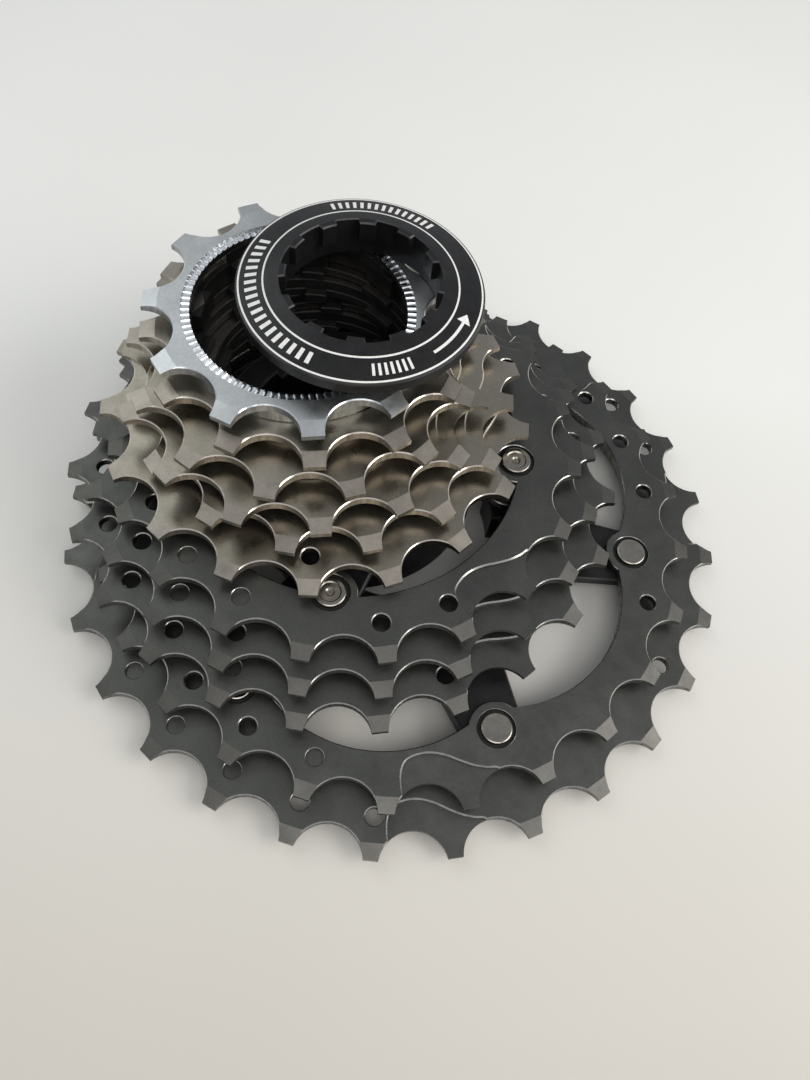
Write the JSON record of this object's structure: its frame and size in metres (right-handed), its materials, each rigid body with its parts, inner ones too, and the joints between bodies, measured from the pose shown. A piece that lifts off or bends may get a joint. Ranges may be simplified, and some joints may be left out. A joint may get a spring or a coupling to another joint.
{
  "type": "bicycle cassette",
  "caption": "Stepped stack of toothed bicycle sprockets on a splined bore, with riveted spiders, spacer rings and a lockring, lying loose and a little off line.",
  "frame": {"origin": "on the axis of the largest sprocket, in the plane of the rear seat that meets the freehub's shoulder", "axes": "+Z along the wheel's axle, outboard, from the largest sprocket to the lockring; +Y away from the viewer; +X to the right"},
  "size_m": [0.1146, 0.1146, 0.0476],
  "materials": {
    "dark_titanium": "dark grey satin",
    "nickel_steel": "warm satin nickel plating",
    "bright_steel": "bright cool plating",
    "black_alloy": "black anodised satin",
    "plain_alloy": "plain turned alloy",
    "rivet_steel": "satin nickel plating"
  },
  "bodies": {
    "large_cluster": {"sprocket_28t": "dark_titanium", "sprocket_25t": "dark_titanium", "large_spider": "black_alloy", "large_rivets": "rivet_steel"},
    "middle_cluster": {"sprocket_23t": "dark_titanium", "sprocket_21t": "dark_titanium", "sprocket_19t": "dark_titanium", "mid_spider": "black_alloy", "mid_collars": "plain_alloy", "mid_rivets": "rivet_steel"},
    "single_17t": {"sprocket_17t": "nickel_steel"},
    "ring_15_17": {"spacer_15_17": "plain_alloy"},
    "single_15t": {"sprocket_15t": "nickel_steel"},
    "ring_14_15": {"spacer_14_15": "plain_alloy"},
    "single_14t": {"sprocket_14t": "nickel_steel"},
    "ring_13_14": {"spacer_13_14": "plain_alloy"},
    "single_13t": {"sprocket_13t": "nickel_steel"},
    "single_12t": {"sprocket_12t": "nickel_steel"},
    "single_11t": {"sprocket_11t": "bright_steel"},
    "washer": {"lockring_washer": "plain_alloy"},
    "lockring": {"lockring": "black_alloy"}
  },
  "joints": [
    {"name": "middle_cluster_slide", "type": "slide", "parent": "large_cluster", "child": "middle_cluster", "axis": [0.8253, -0.5647, 0], "range_m": [0, 0.01151]},
    {"name": "single_17t_slide", "type": "slide", "parent": "middle_cluster", "child": "single_17t", "axis": [0.7399, -0.6727, 0], "range_m": [0, 0.00743]},
    {"name": "ring_15_17_spin", "type": "hinge", "parent": "single_17t", "child": "ring_15_17", "pos_m": [-0.015, 0.0115, 0.02337], "axis": [0, 0, 1], "continuous": true},
    {"name": "single_15t_slide", "type": "slide", "parent": "single_17t", "child": "single_15t", "axis": [-0.7071, -0.7071, 0], "range_m": [0, 0.00099]},
    {"name": "ring_14_15_spin", "type": "hinge", "parent": "single_15t", "child": "ring_14_15", "pos_m": [-0.0143, 0.0122, 0.02711], "axis": [0, 0, 1], "continuous": true},
    {"name": "single_14t_slide", "type": "slide", "parent": "single_15t", "child": "single_14t", "axis": [0.9558, 0.2941, 0], "range_m": [0, 0.00272]},
    {"name": "ring_13_14_spin", "type": "hinge", "parent": "single_14t", "child": "ring_13_14", "pos_m": [-0.0169, 0.0114, 0.03085], "axis": [0, 0, 1], "continuous": true},
    {"name": "single_13t_slide", "type": "slide", "parent": "single_14t", "child": "single_13t", "axis": [0.3846, -0.9231, 0], "range_m": [0, 0.0013]},
    {"name": "single_12t_slide", "type": "slide", "parent": "single_13t", "child": "single_12t", "axis": [-0.359, -0.9333, 0], "range_m": [0, 0.00139]},
    {"name": "single_11t_slide", "type": "slide", "parent": "single_12t", "child": "single_11t", "axis": [0.9558, -0.2941, 0], "range_m": [0, 0.00136]},
    {"name": "washer_slide", "type": "slide", "parent": "single_11t", "child": "washer", "axis": [-0.9997, -0.0225, 0], "range_m": [0, 0.0089]},
    {"name": "lockring_spin", "type": "hinge", "parent": "washer", "child": "lockring", "pos_m": [-0.0093, 0.0145, 0.04396], "axis": [0, 0, 1], "continuous": true}
  ]
}
